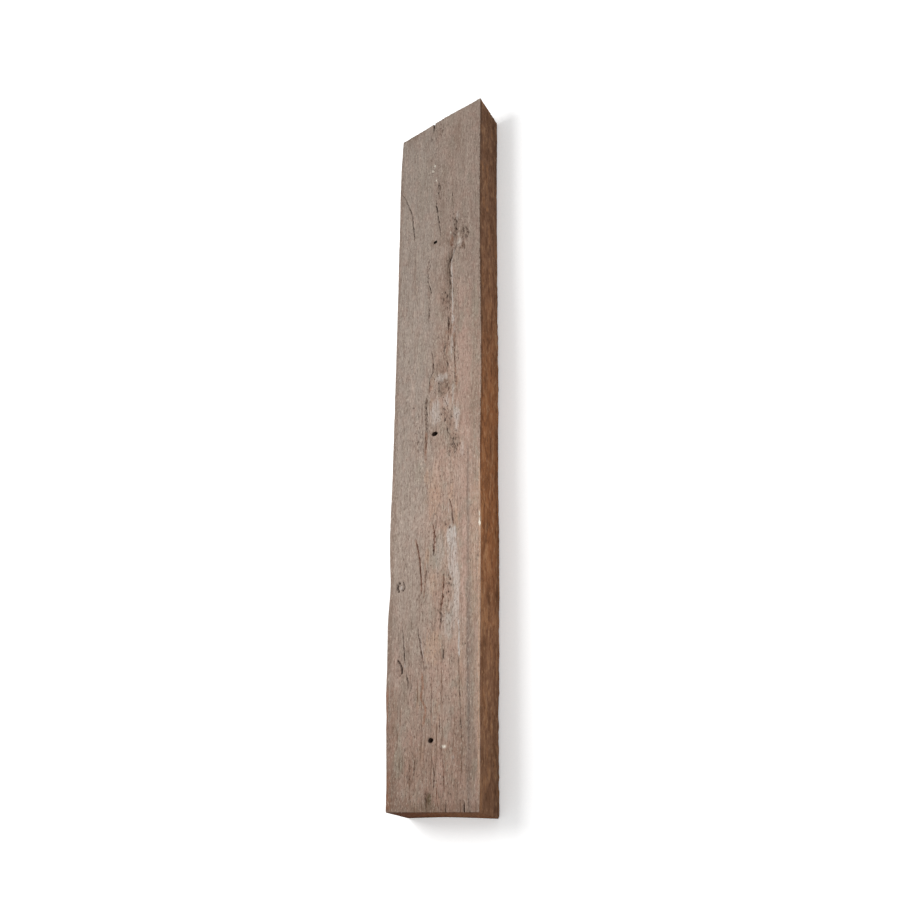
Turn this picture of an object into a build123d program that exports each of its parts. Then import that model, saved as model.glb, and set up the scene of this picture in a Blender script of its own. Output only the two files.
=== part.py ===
from build123d import *
import math
import os
from collections import namedtuple

# Board as it was sawn, measured along and across its face, in millimetres
length = 1494.0
width_near = 200.0
width_far = 203.0
thickness_near = 76.0
thickness_far = 78.0

# Saw cuts at the two ends, in degrees: a positive turn leaves the right-hand side of the far end
# longer, and a positive lean leaves the face overhanging there
far_turn = 12.3
far_lean = 15.5
near_turn = -1.5
near_lean = 5.0

# Worn corners between the four long sides
left_arris = 2.0
right_arris = 1.5
under_arris = 4.0

# Old spike holes along the middle of the board, driven right through
spike_hole_d = 10.0
spike_mouth_d = 13.0
spike_mouth_depth = 3.0
near_hole_inset = 127.0
far_hole_inset = 312.0
middle_hole_shift = -12.0
near_hole_offset = 4.0
middle_hole_offset = 6.0
far_hole_offset = 11.0

# How far a cutting tool stands out of the wood, so that no two faces lie in one plane
overcut = 2.0

# Long sides: a share of the length from the near end, and how far the wood stands out there
Wave = namedtuple("Wave", "share out")
left_waves = [
    Wave(0.00, 0.7), Wave(0.04, 1.0), Wave(0.07, 2.9), Wave(0.11, 5.2), Wave(0.14, 7.0),
    Wave(0.19, 7.1), Wave(0.245, 8.0), Wave(0.275, 4.9), Wave(0.295, 4.7), Wave(0.33, 7.5),
    Wave(0.46, 6.4), Wave(0.60, 5.5), Wave(0.82, 5.2), Wave(0.935, 5.3), Wave(1.00, 2.0),
]
right_waves = [
    Wave(0.00, 0.4), Wave(0.04, 2.0), Wave(0.15, 1.5), Wave(0.27, 2.8), Wave(0.34, 2.8),
    Wave(0.42, 1.4), Wave(0.48, 1.2), Wave(0.53, 2.9), Wave(0.58, 3.3), Wave(0.66, 2.6),
    Wave(0.72, 0.9), Wave(0.80, -0.7), Wave(0.90, -0.4), Wave(1.00, 0.6),
]

# Drying checks: place as shares of the length and of the half width, then run, drift across
# the grain, sag to one side at mid-run, mouth and depth in millimetres
Check = namedtuple("Check", "along across run drift sag mouth depth")
checks = [
    Check(0.709, -0.29, 180.0, -17.0, 4.0, 4.0, 11.0),
    Check(0.607, -0.17, 78.0, 3.0, -1.0, 3.0, 7.0),
    Check(0.611, -0.40, 78.0, 0.0, -0.5, 3.2, 8.0),
    Check(0.841, 0.785, 155.0, 45.0, -8.0, 2.6, 6.0),
    Check(0.863, 0.00, 150.0, 5.0, 9.0, 2.4, 5.0),
    Check(0.540, 0.21, 233.0, -9.0, 4.0, 3.0, 7.0),
    Check(0.378, -0.35, 54.0, 5.0, -1.5, 3.4, 7.0),
    Check(0.348, 0.05, 64.0, 2.0, 0.0, 2.4, 5.0),
    Check(0.314, 0.385, 113.0, 15.0, -4.0, 3.0, 7.0),
    Check(0.277, 0.24, 36.0, -8.0, 0.0, 2.4, 5.0),
    Check(0.261, -0.17, 93.0, -4.0, 1.5, 3.2, 8.0),
    Check(0.201, 0.28, 83.0, 15.0, 1.0, 3.0, 7.0),
    Check(0.194, 0.66, 30.0, 3.0, 0.0, 2.4, 5.0),
    Check(0.193, -0.20, 27.0, 0.0, 0.0, 2.2, 5.0),
    Check(0.098, 0.045, 22.0, 0.0, 0.0, 2.2, 5.0),
    Check(0.0945, -0.19, 45.0, 4.0, -0.5, 2.6, 6.0),
    Check(0.1155, -0.63, 70.0, 4.0, 0.0, 2.4, 5.0),
    Check(0.039, -0.045, 50.0, 1.0, -1.0, 2.8, 6.0),
    Check(0.037, 0.075, 44.0, 5.0, 2.0, 2.2, 5.0),
    Check(0.0405, -0.25, 50.0, 2.0, -1.5, 2.2, 5.0),
]

# Checks that open at an end: place as a share of the half width, then run, mouth and depth
EndCheck = namedtuple("EndCheck", "across run mouth depth")
far_end_checks = [EndCheck(0.18, 22.0, 5.0, 30.0), EndCheck(-0.05, 16.0, 4.0, 22.0)]
near_end_checks = [EndCheck(-0.32, 16.0, 4.0, 24.0), EndCheck(-0.71, 18.0, 4.5, 28.0)]

# Torn and worn hollows in the face: place as above, then size along, size across and depth
Hollow = namedtuple("Hollow", "along across long wide depth")
hollows = [
    Hollow(0.575, -0.13, 86.0, 34.0, 2.6),
    Hollow(0.789, -0.52, 74.0, 36.0, 2.2),
    Hollow(0.016, 0.08, 24.0, 17.0, 1.8),
    Hollow(0.290, -0.40, 180.0, 44.0, 1.4),
]
hollow_floor_share = 0.62

# Chip split off the right-hand corner of the face
chip_along = 0.364
chip_run = 26.0
chip_width = 7.0
chip_depth = 6.0


def half_width(x):
    """Half the sawn width at x from the near end."""
    return (width_near + (width_far - width_near) * x / length) / 2


def face_height(x):
    """Height of the upper face at x from the near end."""
    return thickness_near + (thickness_far - thickness_near) * x / length


def side_line(waves, side):
    """One long side in plan: a spline through the waves, run on straight past both ends."""
    points = [(w.share * length, side * (half_width(w.share * length) + w.out)) for w in waves]
    run_on = width_far
    along = (1, 0)
    return [
        Line((-run_on, points[0][1]), points[0]),
        Spline(*points, tangents=[along, along]),
        Line(points[-1], (length + run_on, points[-1][1])),
    ]


def sawn_blank():
    """The board over-long: its plan extruded, then planed to the taper of its face."""
    left = side_line(left_waves, 1)
    right = side_line(right_waves, -1)
    near_edge = Line(left[0] @ 0, right[0] @ 0)
    far_edge = Line(left[-1] @ 1, right[-1] @ 1)
    plan = make_face([near_edge, *left, far_edge, *right])
    blank = extrude(plan, max(thickness_near, thickness_far) + overcut + 2 * width_far)
    taper = math.degrees(math.atan2(thickness_far - thickness_near, length))
    face_plane = Plane((0, 0, thickness_near)).rotated((0, -taper, 0))
    return split(blank, bisect_by=face_plane, keep=Keep.BOTTOM)


def ease_arrises(blank):
    """Round the four long corners, each to its own wear."""
    long_edges = blank.edges().filter_by(lambda e: abs((e % 0.5).X) > 0.9)
    mid_height = min(thickness_near, thickness_far) / 2
    under = long_edges.filter_by(lambda e: (e @ 0.5).Z < mid_height)
    blank = fillet(under, under_arris)
    for side, wear in ((1, left_arris), (-1, right_arris)):
        long_edges = blank.edges().filter_by(lambda e: abs((e % 0.5).X) > 0.9)
        upper = long_edges.filter_by(lambda e: (e @ 0.5).Z > mid_height)
        blank = fillet(upper.filter_by(lambda e: side * (e @ 0.5).Y > mid_height), wear)
    return blank


def saw_plane(x, turn, lean):
    """The plane of a saw cut whose line on the face crosses the middle of the board at x."""
    across = math.tan(math.radians(turn))
    down = math.tan(math.radians(lean))
    return Plane((x, 0, face_height(x)), z_dir=(1, across, -down))


def saw_ends(blank):
    """Cut off both over-long ends by eye, neither quite square nor quite plumb."""
    board = split(blank, bisect_by=saw_plane(0, near_turn, near_lean), keep=Keep.TOP)
    return split(board, bisect_by=saw_plane(length, far_turn, far_lean), keep=Keep.BOTTOM)


def vee(x, y, mouth, depth):
    """A vee across the board at x: its lips stand just above the face, its root lies below."""
    lip = face_height(x) + overcut
    spread = mouth / 2 * (depth + overcut) / depth
    root = face_height(x) - depth
    return Plane.YZ.offset(x) * Polygon((y - spread, lip), (y + spread, lip), (y, root), align=None)


def check_cut(check):
    """A drying check: a vee that is widest at mid-run and closes to a point at both tips."""
    centre = check.along * length
    middle = check.across * half_width(centre)
    stations = [-0.5, -0.28, 0.0, 0.28, 0.5]
    places = []
    for s in stations:
        swell = 1 - (2 * s) ** 2
        x = centre + s * check.run
        y = middle + s * check.drift + check.sag * swell
        places.append((x, y, check.mouth * swell, check.depth * swell))
    tips = [Vertex(x, y, face_height(x) + overcut) for x, y, _, _ in (places[0], places[-1])]
    sections = [vee(*place) for place in places[1:-1]]
    return loft([tips[0], *sections, tips[1]])


def end_check_cut(check, end_x, inward):
    """A check that opens at an end: a vee at the saw cut that runs out into the face."""
    reach = check.depth
    y = check.across * half_width(end_x)
    tip_x = end_x + inward * check.run
    open_x = end_x - inward * reach
    mouth_there = check.mouth * (check.run + reach) / check.run
    depth_there = check.depth * (check.run + reach) / check.run
    tip = Vertex(tip_x, y, face_height(tip_x) + overcut)
    return loft([vee(open_x, y, mouth_there, depth_there), tip])


def hollow_cut(hollow):
    """A worn hollow: an oval at the face that narrows to a smaller oval floor."""
    x = hollow.along * length
    y = hollow.across * half_width(x)
    rim = Plane((x, y, face_height(x) + overcut)) * Ellipse(hollow.long / 2, hollow.wide / 2)
    floor_long = hollow.long * hollow_floor_share
    floor_wide = hollow.wide * hollow_floor_share
    floor = Plane((x, y, face_height(x) - hollow.depth)) * Ellipse(floor_long / 2, floor_wide / 2)
    return loft([rim, floor])


def chip_cut():
    """A splinter lost from the right-hand corner of the face."""
    x = chip_along * length
    y = -half_width(x)
    top = face_height(x)
    middle = Plane.YZ.offset(x) * Polygon(
        (y - chip_width, top + chip_depth), (y + chip_width, top + chip_depth / 4),
        (y - chip_width / 4, top - chip_depth), align=None,
    )
    tips = [Vertex(x + s * chip_run / 2, y - chip_width / 2, top + chip_depth / 2) for s in (-1, 1)]
    return loft([tips[0], middle, tips[1]])


def spike_hole(x, y):
    """One old spike hole with its mouth worn wider."""
    top = face_height(x)
    shaft_height = top + 2 * overcut
    shaft = Pos(x, y, shaft_height / 2 - overcut) * Cylinder(spike_hole_d / 2, shaft_height)
    mouth_height = spike_mouth_depth + overcut
    widen = (spike_mouth_d - spike_hole_d) / 2 / spike_mouth_depth
    mouth = Cone(spike_hole_d / 2, spike_hole_d / 2 + widen * mouth_height, mouth_height)
    return shaft + Pos(x, y, top + overcut - mouth_height / 2) * mouth


def plank():
    """The whole board in one piece, with its reference point under the middle of its box."""
    board = saw_ends(ease_arrises(sawn_blank()))
    cuts = [check_cut(check) for check in checks]
    cuts += [end_check_cut(check, length, -1) for check in far_end_checks]
    cuts += [end_check_cut(check, 0.0, 1) for check in near_end_checks]
    cuts += [hollow_cut(hollow) for hollow in hollows]
    cuts.append(chip_cut())
    cuts.append(spike_hole(near_hole_inset, near_hole_offset))
    cuts.append(spike_hole(length / 2 + middle_hole_shift, middle_hole_offset))
    cuts.append(spike_hole(length - far_hole_inset, far_hole_offset))
    board = board - cuts
    box = board.bounding_box()
    return Pos(-box.center().X, -box.center().Y, -box.min.Z) * board


os.makedirs("parts", exist_ok=True)
export_step(plank(), "parts/plank.step")
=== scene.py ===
from collections import namedtuple

import bpy
import numpy as np
from mathutils import Matrix


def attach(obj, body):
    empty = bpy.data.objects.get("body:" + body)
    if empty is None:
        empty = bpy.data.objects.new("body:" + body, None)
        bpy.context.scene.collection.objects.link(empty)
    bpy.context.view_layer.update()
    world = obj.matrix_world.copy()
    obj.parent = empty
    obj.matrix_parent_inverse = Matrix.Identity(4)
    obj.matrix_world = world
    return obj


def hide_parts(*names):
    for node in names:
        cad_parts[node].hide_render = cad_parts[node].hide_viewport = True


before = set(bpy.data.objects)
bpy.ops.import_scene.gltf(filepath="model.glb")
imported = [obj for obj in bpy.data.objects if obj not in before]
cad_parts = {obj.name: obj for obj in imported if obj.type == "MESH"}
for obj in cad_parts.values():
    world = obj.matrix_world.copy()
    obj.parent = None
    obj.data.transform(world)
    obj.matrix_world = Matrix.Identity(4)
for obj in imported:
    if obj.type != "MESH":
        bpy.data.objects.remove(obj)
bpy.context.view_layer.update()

# The plank
# One old board of dense timber, sawn full to about 8 by 3 inches and cut to length by eye. The
# weather has greyed and fissured its face, and its sides are still red-brown. It is shaped here
# in millimetres: x runs from the near end, y to the left and z up from below.
MM = 0.001

# Its outline: the sawn sizes, then how far each long side waves out at shares of the length
length = 1494.0
width_near, width_far = 200.0, 203.0
thickness_near, thickness_far = 76.0, 78.0
far_turn, far_lean = np.radians(12.3), np.radians(15.5)
near_turn, near_lean = np.radians(-1.5), np.radians(5.0)
left_waves = [
    (0.00, 1.4), (0.04, 1.8), (0.07, 3.6), (0.11, 5.8), (0.14, 7.4), (0.19, 7.3), (0.245, 8.0),
    (0.262, 6.4), (0.275, 4.9), (0.295, 4.7), (0.315, 6.4), (0.33, 7.5), (0.46, 6.4),
    (0.60, 5.5), (0.82, 5.2), (0.935, 5.0), (0.965, 3.2), (1.00, 1.6),
]
right_waves = [
    (0.00, 0.4), (0.04, 2.0), (0.15, 1.5), (0.27, 2.8), (0.34, 2.8), (0.42, 1.4), (0.48, 1.2),
    (0.53, 2.9), (0.58, 3.3), (0.66, 2.6), (0.72, 0.9), (0.80, -0.7), (0.90, -0.4), (1.00, 0.6),
]
# How far round each long corner is worn, as a radius at shares of the length
left_wear = [(0.0, 2.4), (0.5, 2.0), (1.0, 2.2)]
right_wear = [(0.0, 1.4), (0.5, 1.1), (1.0, 1.3)]
lower_left_wear = [(0.0, 5.0), (0.4, 4.5), (1.0, 4.2)]
lower_right_wear = [
    (0.00, 6.0), (0.02, 7.5), (0.04, 10.5), (0.07, 10.2), (0.115, 8.8), (0.15, 6.4), (0.24, 6.2),
    (0.27, 6.6), (0.30, 6.0), (0.34, 6.8), (0.40, 5.8), (0.46, 5.0), (0.50, 5.2), (0.54, 7.5),
    (0.60, 8.8), (0.65, 10.2), (0.70, 6.4), (0.76, 4.6), (1.00, 4.2),
]
# How far the saw cuts leave their planes, at places across the board: the far one bows to and
# fro, and the near one is hollowed at its foot
far_bow = [
    (-105, -0.4), (-80, -0.5), (-60, 0.3), (-30, 1.8), (0, 1.6), (25, 0.9), (60, -0.1), (105, -0.3),
]
near_hollow = [(-105, 0.0), (-75, 0.8), (-30, 2.2), (20, 3.0), (60, 2.2), (105, 1.2)]
# A shallow groove in the face along its right-hand side, as x and y
groove_line = [(0, -80), (120, -79), (210, -77), (370, -74), (520, -74), (640, -73), (1500, -73)]


def eased(share):
    """A share from 0 to 1 with level ends: three of its squares less two of its cubes."""
    return share * share * (3 - 2 * share)


def through(points, x):
    """A smooth line through points: each span is a cubic that meets each of its points with the
    slope of the parabola through that point and the ones beside it."""
    px, py = np.array(points, float).T
    slope = np.gradient(py, px)
    i = np.clip(np.searchsorted(px, x) - 1, 0, len(px) - 2)
    span = px[i + 1] - px[i]
    s = np.clip((x - px[i]) / span, 0, 1)
    pull = span * (slope[i] * s * (1 - s) ** 2 - slope[i + 1] * s * s * (1 - s))
    return py[i] * (1 - eased(s)) + py[i + 1] * eased(s) + pull


lattice_long, lattice_wide = 251, 241


def lattice(u, v, seed):
    """Smooth noise from -1 to 1: random heights at whole-numbered u and v, eased between them. So
    lattice(x / 30, y / 4, seed) has forms about 30 mm long and 4 mm across."""
    heights = np.random.default_rng(seed).uniform(-1, 1, (lattice_long, lattice_wide))
    i, j = np.floor(u).astype(int), np.floor(v).astype(int)
    s, t = eased(u - i), eased(v - j)
    i, next_i = i % lattice_long, (i + 1) % lattice_long
    j, next_j = j % lattice_wide, (j + 1) % lattice_wide
    lower = heights[i, j] * (1 - s) + heights[next_i, j] * s
    upper = heights[i, next_j] * (1 - s) + heights[next_i, next_j] * s
    return lower * (1 - t) + upper * t


def step_up(low, high, value):
    """0 below low, 1 above high and an eased ramp between them."""
    return eased(np.clip((value - low) / (high - low), 0, 1))


def share_along(line, x):
    """How far x lies along a line of points: 0 at its near end and 1 at its far end."""
    return np.clip((x - line[0][0]) / (line[-1][0] - line[0][0]), 0, 1)


def face_height(x):
    """Height of the sawn face at x."""
    return thickness_near + (thickness_far - thickness_near) * x / length


def side_place(waves, x, side):
    """The y of a long side at x: half the sawn width plus the wave, out to the given side."""
    half = (width_near + (width_far - width_near) * x / length) / 2
    return side * (half + through(waves, x / length))


def near_cut(y, z):
    """The x of the near saw cut: a leaning plane, hollowed more towards its foot."""
    lower = 1 - np.clip(z / thickness_near, 0, 1)
    plane = -np.tan(near_turn) * y + np.tan(near_lean) * (z - thickness_near)
    return plane + lower * through(near_hollow, y)


def far_cut(y, z):
    """The x of the far saw cut: a leaning plane, bowed a little across the board."""
    plane = length - np.tan(far_turn) * y + np.tan(far_lean) * (z - thickness_far)
    return plane + through(far_bow, y)


# Drying checks in its face. Each is a vee that wanders a little, pinches and swells, and closes at
# both ends; a broken one comes and goes. A row gives the x and y of its bends, then its mouth, its
# depth and how broken it is.
Check = namedtuple("Check", "line mouth depth broken")
checks = [Check(*row) for row in (
    ([(1346, 107), (1333, 102), (1314, 91), (1291, 81), (1266, 73), (1234, 69), (1190, 62)],
     3.7, 5.0, 0.15),
    ([(1182, 62), (1152, 60), (1139, 62), (1099, 59), (1060, 60)], 2.4, 2.6, 0.85),
    ([(1344, 5), (1303, 6), (1297, 11), (1286, 11), (1267, 9), (1244, 5), (1225, 2), (1190, -3)],
     3.4, 5.0, 0.6),
    ([(1346, 5), (1325, 5), (1300, 6)], 2.8, 4.0, 0.6),
    ([(1482, 20), (1442, 21), (1408, 21), (1389, 20)], 1.6, 1.4, 1.0),
    ([(1318, -32), (1290, -31), (1253, -35), (1222, -36)], 2.4, 3.0, 0.8),
    ([(1166, -46), (1155, -41), (1139, -33), (1124, -24), (1097, -21)], 3.6, 6.5, 0.35),
    ([(1106, -24), (1090, -27), (1078, -27), (1060, -26)], 3.0, 6.0, 0.6),
    ([(1064, -28), (1030, -29), (994, -28)], 2.4, 4.0, 0.9),
    ([(994, -25), (972, -24), (952, -24)], 3.2, 6.0, 0.2),
    ([(954, -24), (935, -23), (925, -17), (898, -18), (884, -23), (864, -22)], 3.2, 5.0, 0.5),
    ([(951, -39), (921, -40), (893, -41), (877, -42), (848, -42), (820, -46)], 2.4, 3.4, 0.9),
    ([(923, 16), (899, 12), (876, 12), (858, 19), (842, 19), (822, 24)], 3.0, 4.0, 0.5),
    ([(826, 23), (810, 30), (799, 27), (777, 25), (745, 25), (714, 26), (690, 26)], 2.7, 4.0, 0.9),
    ([(1153, 27), (1134, 23), (1090, 28), (1071, 21), (1017, 23), (988, 24)], 3.2, 4.0, 0.8),
    ([(960, 11), (949, -1), (941, -12), (918, -16)], 2.6, 3.0, 0.8),
    ([(962, 56), (928, 50), (896, 48)], 1.6, 1.8, 0.8),
    ([(752, -22), (735, -25), (721, -32), (701, -43), (688, -46)], 3.4, 5.0, 0.6),
    ([(690, -29), (663, -34), (640, -32)], 2.6, 3.0, 0.7),
    ([(632, 22), (613, 21), (588, 20)], 1.6, 2.0, 0.4),
    ([(592, -31), (579, -35), (567, -38), (552, -38), (535, -40)], 3.5, 5.6, 0.0),
    ([(549, 8), (533, 4), (518, 2), (503, 3)], 3.0, 4.0, 0.6),
    ([(530, 3), (518, 2), (503, 3), (474, 4)], 5.6, 4.0, 0.5),
    ([(521, 47), (503, 42), (482, 38), (461, 34), (444, 32), (427, 31), (403, 30)], 4.4, 6.0, 0.2),
    ([(514, 74), (478, 72), (466, 66), (434, 65)], 2.2, 2.0, 0.7),
    ([(468, 23), (454, 20), (437, 20), (414, 23), (392, 25)], 3.4, 3.6, 0.65),
    ([(443, -20), (415, -19), (392, -17), (366, -14)], 4.4, 5.4, 0.4),
    ([(372, -14), (351, -15), (342, -13), (330, -13)], 4.8, 6.0, 0.35),
    ([(342, 37), (326, 35), (309, 32), (293, 29), (273, 24), (254, 20)], 3.6, 6.0, 0.15),
    ([(342, 71), (320, 70), (297, 68), (285, 66), (271, 64)], 4.0, 5.0, 0.3),
    ([(306, -18), (288, -21), (272, -21)], 4.0, 5.0, 0.6),
    ([(259, -35), (238, -37)], 2.0, 2.6, 0.3),
    ([(290, -54), (230, -57), (187, -59), (156, -61), (143, -62), (118, -61)], 2.8, 3.0, 0.6),
    ([(260, 62), (241, 58), (225, 55)], 4.4, 5.0, 0.1),
    ([(243, 48), (231, 49), (219, 52)], 3.8, 4.0, 0.2),
    ([(219, -18), (206, -18), (190, -20)], 2.2, 3.0, 0.2),
    ([(250, 4), (191, 3), (150, 4), (134, 3)], 2.6, 3.0, 0.5),
    ([(235, 83), (214, 83), (197, 83)], 1.8, 1.6, 0.4),
    ([(190, 72), (157, 73), (155, 85), (120, 87)], 1.8, 2.0, 0.5),
    ([(176, -13), (148, -16), (130, -18)], 2.2, 3.0, 0.3),
    ([(98, 2), (88, 0), (75, -4), (60, -5), (48, -4), (34, -3)], 3.0, 5.0, 0.3),
    ([(112, 11), (86, 13), (61, 11), (36, 13)], 1.8, 2.0, 0.4),
    ([(46, -8), (32, -12), (20, -10)], 3.2, 3.0, 0.2),
    ([(104, -19), (77, -24), (59, -25), (39, -26), (24, -24)], 3.2, 4.0, 0.3),
    ([(96, 51), (78, 48), (63, 54), (52, 50)], 3.0, 3.0, 0.2),
    ([(94, 39), (77, 38), (67, 40), (54, 46)], 3.2, 3.0, 0.2),
    ([(66, 93), (40, 92), (18, 91)], 2.0, 2.0, 0.4),
    ([(16, -31), (-14, -30)], 3.4, 8.0, 0.0),
    ([(17, -70), (-14, -69)], 3.4, 8.0, 0.0),
    ([(22, -11), (2, -16)], 2.4, 3.0, 0.3),
    ([(1528, 18), (1468, 20)], 5.0, 10.0, 0.0),
    ([(1520, -4), (1484, -5)], 2.6, 4.0, 0.0),
)]

# Splits that turn across the grain, mostly round knots, and the nicks of a saw
Split = namedtuple("Split", "line mouth depth")
splits = [Split(*row) for row in (
    ([(435, 81), (431, 85), (424, 88), (418, 83)], 4.0, 5.0),
    ([(435, 74), (427, 70), (420, 72), (416, 78)], 3.2, 4.0),
    ([(282, 82), (273, 76), (264, 72), (257, 72)], 4.4, 6.0),
    ([(258, 72), (253, 77), (250, 82)], 3.4, 4.0),
    ([(848, -13), (843, -5), (833, -2), (824, -6), (820, -15)], 2.2, 1.7),
    ([(820, -18), (825, -26), (836, -28), (845, -23)], 2.2, 1.7),
    ([(35, 13), (27, 15), (18, 12), (14, 5)], 2.4, 1.5),
    ([(70, -57), (70, -104)], 1.2, 0.7),
    ([(57, -54), (57, -76)], 1.2, 0.7),
    ([(117, -26), (116, -51), (131, -51)], 1.1, 0.6),
    ([(132, -26), (131, -50)], 1.0, 0.5),
)]

# Bands where the face has torn away on one side of a fissure: each falls gently over its reach and
# ends in a short wall along its line. A reach below 0 lies on the line's right.
Ledge = namedtuple("Ledge", "line reach drop")
ledges = [
    Ledge([(1160, -42), (1132, -32), (1115, -28), (1102, -29), (1077, -32), (1043, -32), (1016, -32),
           (985, -33)], 13, 2.4),
    Ledge([(984, -33), (958, -34), (946, -32)], 10, 2.0),
    Ledge([(905, -23), (880, -25), (862, -23)], 22, 1.6),
    Ledge([(810, 28), (777, 26), (745, 26), (700, 27)], -12, 0.6),
]

# Torn and pitted places, where the grain turns and the weather has eaten in. A row gives a place's
# x and y, how long and wide it is, and its depth; a pit has its x and y alone.
Hollow = namedtuple("Hollow", "x y long wide depth")
hollows = [Hollow(*row) for row in (
    (1188, -54, 76, 44, 1.6), (834, -15, 34, 34, 2.2), (978, -29, 34, 12, 1.6), (24, 7, 26, 17, 1.4),
    (430, -45, 200, 22, 0.8), (725, -38, 110, 36, 1.2), (426, 78, 24, 22, 0.8), (265, 74, 36, 20, 1.2),
    (115, -23, 26, 12, 1.2), (735, 14, 60, 24, 0.8), (455, -14, 150, 30, 0.8), (880, -9, 44, 30, 1.2),
)]
pits = [
    (1220, -41), (1199, -41), (1190, -59), (1178, -64), (1188, -55), (1154, -57), (1146, -63),
    (1164, -30), (891, -29), (776, -10), (764, -34), (761, -19), (717, -38), (703, -48), (691, -30),
    (705, -35), (803, 58), (781, 45), (724, 45), (735, 39), (858, 8), (838, -22), (846, -2), (830, -26),
    (812, -14), (795, -22), (783, -18), (768, -24), (748, -31), (450, -28), (436, -30), (419, -32),
    (429, -35), (417, -37), (1240, -34), (1168, -59), (540, -22), (531, -32), (280, -21), (1449, 24),
    (1034, -12), (1052, -16), (1043, -21), (60, 50), (301, -69), (1211, -37), (1186, -38), (1205, -40),
    (1182, -71), (1192, -68), (1228, -33), (1217, -42), (1200, -63), (1193, -66), (1175, -67),
    (1196, -58), (1222, -38), (527, 4), (519, 1), (512, 4), (505, 1), (498, 5), (489, 3), (404, -31),
]


def check_shape(check, x, y, seed):
    """One check at x, y: the depth of its vee, and how near the swollen lip beside it is. Its width
    is the share along it times the share left, to a low power, and noise bends and breaks it."""
    line, still = sorted(check.line), 0 * x
    s = share_along(line, x)
    swell = (4 * s * (1 - s)) ** 0.4
    wander = swell * (0.9 * lattice(x / 15, still, seed) + 0.5 * lattice(x / 5, still, seed + 1))
    swell = swell * (0.80 + 0.25 * lattice(x / 9, still, seed + 2))
    swell = swell * (1 - check.broken * step_up(-0.10, 0.30, lattice(x / 4.6, still, seed + 3)))
    half = np.maximum(check.mouth / 2 * swell, 0.01)
    away = np.abs(y - through(line, x) - wander)
    inside = (s > 0) & (s < 1)
    vee = np.clip(1 - away / half, 0, 1) * check.depth * np.clip(swell, 0, 1)
    lip = np.exp(-((away - half - 1.0) / 1.1) ** 2) * np.clip(swell, 0, 1)
    return np.where(inside, vee, 0), np.where(inside, lip, 0)


def split_shape(split, x, y):
    """Depth of a split at x, y: a vee about the nearest place on its line of straight lengths."""
    away = np.full(x.shape, np.inf)
    for (ax, ay), (bx, by) in zip(split.line[:-1], split.line[1:]):
        run, rise = bx - ax, by - ay
        s = np.clip(((x - ax) * run + (y - ay) * rise) / (run ** 2 + rise ** 2), 0, 1)
        away = np.minimum(away, np.hypot(x - ax - s * run, y - ay - s * rise))
    away = away + 0.35 * lattice(x / 3, y / 3, 90)
    return np.clip(1 - away / (split.mouth / 2), 0, 1) * split.depth


def ledge_shape(ledge, x, y, seed):
    """How far x, y has torn away, 0 to 1: a ramp over the reach beside the line, cut off at the
    line by a wall, and faded at both ends."""
    line = sorted(ledge.line)
    s = share_along(line, x)
    beside = (y - through(line, x) + 0.7 * lattice(x / 8, 0 * x, seed)) / ledge.reach
    ragged = 0.35 * lattice(x / 13, y / 3, seed + 1) + 0.2 * lattice(x / 5, y / 1.6, seed + 2)
    ramp = (1 - step_up(0.25, 1.0, beside + ragged)) * step_up(-0.12, 0.04, beside)
    return ramp * step_up(0, 0.12, s) * step_up(0, 0.12, 1 - s)


def ragged_oval(x, y, place, seed):
    """1 inside a place's oval, which has a ragged edge drawn out along the grain, and 0 outside."""
    ragged = 0.30 * lattice(x / 16, y / 4, seed) + 0.22 * lattice(x / 6, y / 2, seed + 1)
    radius = np.hypot((x - place.x) / (place.long / 2), (y - place.y) / (place.wide / 2))
    return 1 - step_up(0.60, 1.15, radius + ragged)


# Knots and torn spots that its grain parts round, as x, y and size
knots = [(426, 78, 9), (267, 76, 9), (24, 7, 9), (978, -29, 7), (833, -15, 15), (1185, -52, 16)]


def grain_across(x, y):
    """The y that the grain has at x, y: it wanders, and parts to pass each side of a knot."""
    drift = 3.0 * lattice(x / 190, y / 60, 21) + 1.6 * lattice(x / 62, y / 24, 20)
    for knot_x, knot_y, size in knots:
        near_knot = np.exp(-((x - knot_x) / (2.0 * size)) ** 2 - ((y - knot_y) / (1.4 * size)) ** 2)
        drift = drift - 0.6 * (y - knot_y) * near_knot
    return y + drift


# The fissured zone that runs down its middle and fills the near end: the y of its middle and how
# far it reaches to each side, at places along x
torn_middle = [
    (0, 0), (250, 0), (420, -5), (600, -5), (690, -25), (760, -22), (860, -8), (950, -28),
    (1100, -26), (1200, -45), (1270, -18), (1350, 6), (1500, 10),
]
torn_reach = [
    (0, 100), (150, 90), (300, 50), (450, 44), (600, 36), (700, 34), (860, 38), (950, 26),
    (1100, 20), (1200, 30), (1350, 14), (1500, 16),
]


def torn_zone(x, y):
    """How far x, y lies in the fissured zone: 1 within its reach, and 0 past a ragged edge."""
    ragged = 0.30 * lattice(x / 34, y / 9, 26) + 0.2 * lattice(x / 12, y / 4, 27)
    aside = np.abs(y - through(torn_middle, x)) / through(torn_reach, x)
    return 1 - step_up(0.70, 1.30, aside + ragged)


def growth_lines(x, grain, gap, seed):
    """Long dark lines of the grain: 1 where a wavy phase across it passes a whole number, 0 between.
    They come and go along the board."""
    phase = grain / gap + 0.6 * lattice(x / 170, grain / 24, seed)
    phase = phase + 0.20 * lattice(x / 34, grain / 8, seed + 1)
    aside = np.abs(phase - np.round(phase))
    here = lattice(x / 44, grain / 5, seed + 2) + 0.4 * lattice(x / 12, grain / 4, seed + 3)
    return (1 - step_up(0.02, 0.17, aside)) * step_up(-0.10, 0.55, here)


# Where the random draws of each kind of mark start, and the half sizes of a middling pit
check_seed, hollow_seed, ledge_seed, pit_seed = 100, 400, 440, 9
pit_half_long, pit_half_wide = 4.2, 2.3


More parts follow.
